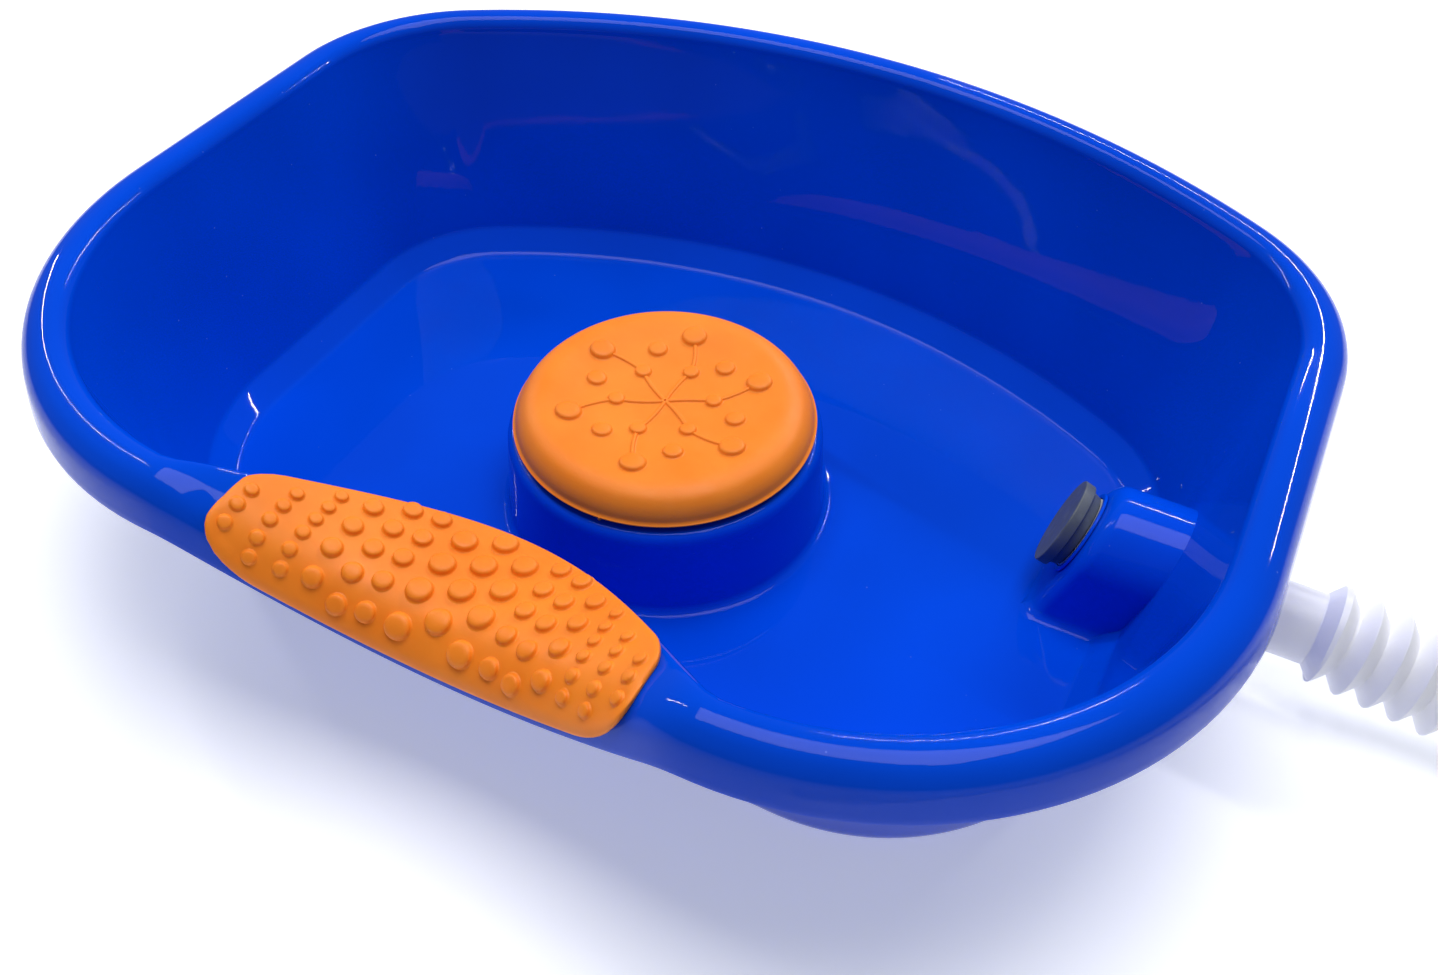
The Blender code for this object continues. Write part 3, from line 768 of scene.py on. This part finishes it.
def fillet(z, size):
    """How far a wall flares out where it runs into the floor."""
    share = min(1.0, max(0.0, (z - FLOOR_TOP) / size)) if size else 1.0
    return size * (1 - math.sqrt(1 - (1 - share) ** 2))


def drain_frame():
    """Matrix with Z pointing out of the housing's sloping face, and its origin on that face."""
    outward = Vector((-math.cos(DRAIN_TILT), 0.0, math.sin(DRAIN_TILT)))
    side = Vector((0.0, 1.0, 0.0))
    turn = Matrix((side.cross(outward), side, outward)).transposed().to_4x4()
    return Matrix.Translation(SEAT) @ turn


def rod(radius, x, y, low, high, stuff):
    """Upright round rod between two heights."""
    profile = [(0.0, low), (radius, low), (radius, high), (0.0, high)]
    return turned("rod", profile, 40, stuff, Matrix.Translation((x, y, 0.0)))


def make_basin(stuff):
    """The whole moulding: skin with its holes, drum, and hollow drain housing."""
    skin = bowl(stuff)
    combine(skin, rod(DRUM_HOLE, 0.0, HEAD_Y, 4.0, 20.0, stuff), "DIFFERENCE")
    combine(skin, cave(stuff), "DIFFERENCE")
    for x, y in STEMS:
        z = section_point(x, section_length(x, y)).z
        combine(skin, rod(STEM_RADIUS + STEM_GAP, x, y, z - 7.0, z + 4.0, stuff), "DIFFERENCE")
    arch = housing("arch", 0.0, 8.5, 220.5, 0.245, 0.0, stuff)
    combine(arch, cave(stuff), "DIFFERENCE")
    bore = [(0.0, -12.0), (BORE_RADIUS, -12.0), (BORE_RADIUS, 12.0), (0.0, 12.0)]
    combine(arch, turned("bore", bore, 64, stuff, drain_frame()), "DIFFERENCE")
    basin = joined("moulded_basin", [skin, drum(stuff), arch])
    finish_piece(basin, "basin", "blue_plastic", "basin_shell")


# ---------------------------------------------------------------- rest pad

def corner(x, radius):
    """How far an edge of the pad curves back at this distance from the middle."""
    return radius - math.sqrt(radius ** 2 - max(0.0, abs(x) - PAD_HALF + radius) ** 2)


def pad_edges(x):
    """Lengths along the section where the pad starts and stops; its corners are round."""
    inner = PAD_INNER_GAP + corner(x, PAD_INNER_CORNER)
    return inner, section_length(x) - PAD_OUTER_GAP - corner(x, PAD_OUTER_CORNER)


def pad_lift(gap):
    """Height of the pad's top at a distance from its edge, with a rounded shoulder."""
    soft, edge = 3.4, 0.9
    if gap >= soft:
        return PAD_THICK
    return edge + (PAD_THICK - edge) * math.sqrt(1 - (1 - gap / soft) ** 2)


def pad_top(x, along, height):
    """Point on the pad's soft top, which rounds off the rim's shoulder."""
    inner, outer = pad_edges(x)
    window = max(0.0, min(9.0, along - inner, outer - along))
    total = Vector((0.0, 0.0, 0.0))
    for step in (-1.0, -0.5, 0.0, 0.5, 1.0):
        total += section_point(x, along + window * step, height)
    return total / 5


def spread(count, margin):
    """Shares from 0 to 1, closer together within the margin of either end."""
    close = [margin * m for m in (0.0, 0.06, 0.2, 0.45, 0.75, 1.0)]
    middle = [margin + (1 - 2 * margin) * k / count for k in range(1, count)]
    return close + middle + [1 - m for m in reversed(close)]


def nub(x, along, radius, height, stuff):
    """Round button that flares into the pad's surface and follows its bend."""
    span = 4.0
    behind, here, ahead = (pad_top(x, along + s, PAD_THICK) for s in (-span, 0.0, span))
    forward = (ahead - behind).normalized()
    beside = pad_top(x + 1.0, section_length(x + 1.0, section_point(x, along).y), PAD_THICK)
    up = (beside - here).cross(forward).normalized()
    up = up if up.z > 0 else -up
    side = forward.cross(up)
    sag = (here - (ahead + behind) / 2).dot(up) / span ** 2
    outline = [(0.0, -1.0), (radius + 1.0, -1.0), (radius + 0.9, -0.08), (radius + 0.35, 0.12),
               (radius, 0.55), (radius - 0.12, height * 0.5), (radius * 0.93, height * 0.74),
               (radius * 0.78, height * 0.9), (radius * 0.5, height * 0.98), (0.0, height)]
    place = Matrix.Translation(here) @ Matrix((side, forward, up)).transposed().to_4x4()
    button = turned("nub", outline, 24, stuff)
    for vertex in button.data.vertices:
        point = vertex.co / MM
        point.z -= sag * point.y ** 2
        vertex.co = place @ point * MM
    return button


def make_pad(stuff):
    """Soft pad over the dipped rim, with its nubs and the stems underneath."""
    stations = [PAD_HALF * (2 * u - 1) for u in spread(64, 0.02)]
    shares = spread(26, 0.055)
    upper, lower = [], []
    for x in stations:
        inner, outer = pad_edges(x)
        end_gap = PAD_HALF - abs(x)
        upper.append([])
        lower.append([])
        for share in shares:
            along = inner + (outer - inner) * share
            gap = min(end_gap, (outer - inner) * min(share, 1 - share))
            upper[-1].append(tuple(pad_top(x, along, pad_lift(gap))))
            lower[-1].append(tuple(section_point(x, along, 0.35)))
    rings = [top + bottom[::-1] for top, bottom in zip(upper, lower)]
    things = [loft("pad_body", rings, stuff, crease=50)]
    for middle, rows, first, pitch, radius, height in NUB_COLUMNS:
        for x in ([0.0] if middle == 0 else [-middle, middle]):
            start = section_length(x, first)
            things += [nub(x, start + pitch * k, radius, height, stuff) for k in range(rows)]
    for x, y in STEMS:
        z = section_point(x, section_length(x, y)).z
        things.append(rod(STEM_RADIUS, x, y, z - 8.0, z + 2.0, stuff))
    pad = joined("nubbed_pad", things, crease=50)
    finish_piece(pad, "pad", "orange_rubber", "rest_pad")


# ---------------------------------------------------------------- massage head

def dish(radius):
    """Height of the head's top above its middle."""
    return 0.0014 * min(radius, 50.0) ** 2


def polar(radius, degrees):
    """X and Y of a point at this distance and angle."""
    return radius * math.cos(math.radians(degrees)), radius * math.sin(math.radians(degrees))


def on_dish(x, y):
    """Height of the head's top over the point x, y."""
    return dish(math.hypot(x, y - HEAD_Y))


def bump(radius, degrees, size, height, stuff):
    """Round bump on the head's top, at this distance and angle from its middle."""
    x, y = polar(radius, degrees)
    outline = [(0.0, -1.5), (size + 1.0, -1.5), (size + 0.9, -0.04), (size + 0.35, 0.1), (size, 0.5),
               (size * 0.97, height * 0.5), (size * 0.9, height * 0.76), (size * 0.74, height * 0.91),
               (size * 0.45, height * 0.98), (0.0, height)]
    place = Matrix.Translation((x, y + HEAD_Y, HEAD_CENTRE))
    return turned("bump", outline, 32, stuff, place, lift=on_dish)


def spoke(start, stuff):
    """Thin curved rib from the middle out to one of the large bumps."""
    section = [(-1.7, -0.6), (-1.7, -0.02), (-1.05, 0.12), (-0.75, 0.7), (-0.35, 0.95), (0.35, 0.95),
               (0.75, 0.7), (1.05, 0.12), (1.7, -0.02), (1.7, -0.6)]
    rings, steps = [], 24
    first, size = 0.5, 43.5
    # the rib passes a small bump in the middle, and curves the other way beyond it
    middle, beyond = 22.3, 22.2
    for k in range(steps + 1):
        radius = first + size * k / steps
        out, near = (radius - middle) / beyond, (middle - radius) / middle
        bend = start - 14.0 + (14.5 * out if out > 0 else 9.0 * near)
        x, y = polar(radius, bend)
        side = Vector(polar(1.0, bend + 90)).to_3d()
        ring = []
        for across, rise in section:
            at = Vector((x, y + HEAD_Y, HEAD_CENTRE + rise)) + side * across
            ring.append((at.x, at.y, at.z + on_dish(at.x, at.y)))
        rings.append(ring)
    return loft("spoke", rings, stuff, crease=60)


def make_head_cap(stuff):
    """Round soft cap with a raised edge, bumps, ribs and the mould's gate mark on its lip."""
    top = smooth([(8.0, 0.09), (14.0, 0.27), (27.0, 1.02), (39.0, 2.1), (50.0, 3.5), (55.0, 3.9), (59.0, 3.5),
                  (63.0, 1.9), (66.0, -0.8), (68.0, -4.0), (69.1, -7.4)], 4)
    edge = [(HEAD_RADIUS, -8.0), (HEAD_RADIUS, -8.5), (69.3, -8.9), (67.5, -10.0), (62.5, -10.0),
            (62.5, -8.2), (66.4, -8.0), (66.4, -4.0), (0.0, -4.0)]
    place = Matrix.Translation((0.0, HEAD_Y, HEAD_CENTRE))
    things = [turned("cap", [(0.0, 0.0)] + top + edge, 160, stuff, place, crease=40)]
    for radius, first, size, height in BUMP_RINGS:
        things += [bump(radius, first - BUMP_TURN * k, size, height, stuff) for k in range(6)]
    things += [spoke(BUMP_RINGS[0][1] - BUMP_TURN * k, stuff) for k in range(6)]
    x, y = polar(69.6, -85.0)
    gate = [(0.0, 60.5), (0.8, 60.3), (1.1, 59.2), (0.7, 58.5), (0.0, 58.4)]
    things.append(turned("gate", gate, 16, stuff, Matrix.Translation((x, y + HEAD_Y, 0.0))))
    cap = joined("soft_head", things, crease=45)
    finish_piece(cap, "head", "orange_rubber", "head_cap")


def make_head_carrier(stuff, seal_stuff):
    """Stiff plate inside the cap, with a stem that plugs into the drum's socket."""
    outline = [(0.0, 63.9), (65.9, 63.9), (65.9, 60.9), (26.0, 60.9), (24.0, 56.8), (15.9, 56.8),
               (15.9, 49.4), (13.3, 49.4), (13.3, 46.2), (15.9, 46.2), (15.0, 39.0), (0.0, 39.0)]
    place = Matrix.Translation((0.0, HEAD_Y, 0.0))
    carrier = turned("head_plate", rounded(outline, 0.6), 96, stuff, place)
    seal = turned("head_o_ring", ring_profile(14.85, 1.25, 47.8, 14), 64, seal_stuff, place)
    finish_piece(carrier, "head", "blue_plastic", "head_carrier")
    finish_piece(seal, "head", "black_rubber", "head_seal_ring")


# ---------------------------------------------------------------- drain

def make_stopper(stuff):
    """Grey rubber plug: flat grip disc, wide shoulder over the seat and tapered neck in the bore."""
    outline = [(0.0, 11.2), (18.0, 11.4), (20.4, 11.4), (20.6, 10.8), (20.4, 6.6), (19.6, 6.2), (18.4, 6.0),
               (17.4, 2.2), (15.2, 2.0), (14.5, -5.4), (13.2, -6.8), (0.0, -6.8)]
    stopper = turned("rubber_plug", rounded(outline, 0.3), 96, stuff, drain_frame())
    finish_piece(stopper, "stopper", "grey_rubber", "drain_stopper")


def make_seat_ring(stuff, seal_stuff):
    """Thin ring on the elbow's collar, and the gasket behind the sloping face."""
    outline = [(17.8, 0.35), (20.2, 0.35), (20.2, 1.2), (19.8, 1.6), (17.8, 1.6)]
    nut = turned("ring_nut", rounded(outline, 0.25), 72, stuff, drain_frame())
    washer = [(18.2, -3.4), (21.2, -3.4), (21.2, -5.0), (18.2, -5.0)]
    gasket = turned("flat_gasket", rounded(washer, 0.4), 72, seal_stuff, drain_frame())
    finish_piece(nut, "basin", "blue_plastic", "drain_seat_ring")
    finish_piece(gasket, "basin", "black_rubber", "elbow_gasket")


def elbow_path():
    """From behind the sloping face round a gentle bend to the spigot's mouth."""
    place = drain_frame()
    start = place @ Vector((0.0, 0.0, -6.0))
    turn = place @ Vector((0.0, 0.0, -22.3))
    end = Vector((SPIGOT_END, HOUSING_Y, SPIGOT_Z))
    line, steps = [tuple(start)], 18
    for k in range(steps + 1):
        t = k / steps
        first = start.lerp(turn, 0.3 + 0.7 * t)
        second = turn.lerp(end, 0.3 * t)
        line.append(tuple(first.lerp(second, t)))
    return line + [tuple(end)]


def make_elbow(stuff):
    """Flanged collar behind the plug, and the pipe that runs on to the spigot."""
    flange = [(0.0, 1.4), (17.5, 1.4), (17.5, -5.35), (21.4, -5.35), (21.4, -8.2), (15.6, -9.4), (0.0, -9.4)]
    elbow = turned("elbow_flange", rounded(flange, 0.4), 72, stuff, drain_frame())
    path = elbow_path()
    combine(elbow, loft("run", tube_rings(path, [PIPE_RADIUS] * len(path), 48), stuff), "UNION")
    wide = turned("mouth", [(0.0, 6.0), (15.75, 6.0), (15.3, -7.6), (0.0, -7.6)], 48, stuff, drain_frame())
    combine(elbow, wide, "DIFFERENCE")
    path.append(tuple(Vector(path[-1]) + Vector((2.0, 0.0, 0.0))))
    combine(elbow, loft("bore", tube_rings(path, [PIPE_BORE] * len(path), 48), stuff), "DIFFERENCE")
    finish_piece(elbow, "basin", "white_plastic", "drain_elbow")


# ---------------------------------------------------------------- feet

def make_feet(stuff):
    """Soft round feet, flat underneath with a slightly raised middle."""
    outline = [(0.0, 0.25), (5.2, 0.25), (5.8, 0.0), (9.3, 0.0), (10.5, 1.2), (10.5, 6.7), (0.0, 6.7)]
    for side, x in (("left", -FOOT_X), ("right", FOOT_X)):
        for end, y in (("front", FOOT_FRONT), ("back", FOOT_BACK)):
            place = Matrix.Translation((x, y, 0.0))
            foot = turned(f"rubber_foot_{end}_{side}", rounded(outline, 0.4), 48, stuff, place)
            finish_piece(foot, "basin", "black_rubber", f"foot_{end}_{side}")


def main():
    """Build every piece, the floor, the lights and the camera."""
    make_camera()
    blue, orange, grey, white, black = (blue_plastic(), orange_rubber(), grey_rubber(), white_plastic(),
                                        black_rubber())
    make_hose_group(white, black)
    make_basin(blue)
    make_pad(orange)
    make_head_cap(orange)
    make_head_carrier(blue, black)
    make_stopper(grey)
    make_seat_ring(blue, black)
    make_elbow(white)
    make_feet(black)
    make_floor()
    make_light()


main()
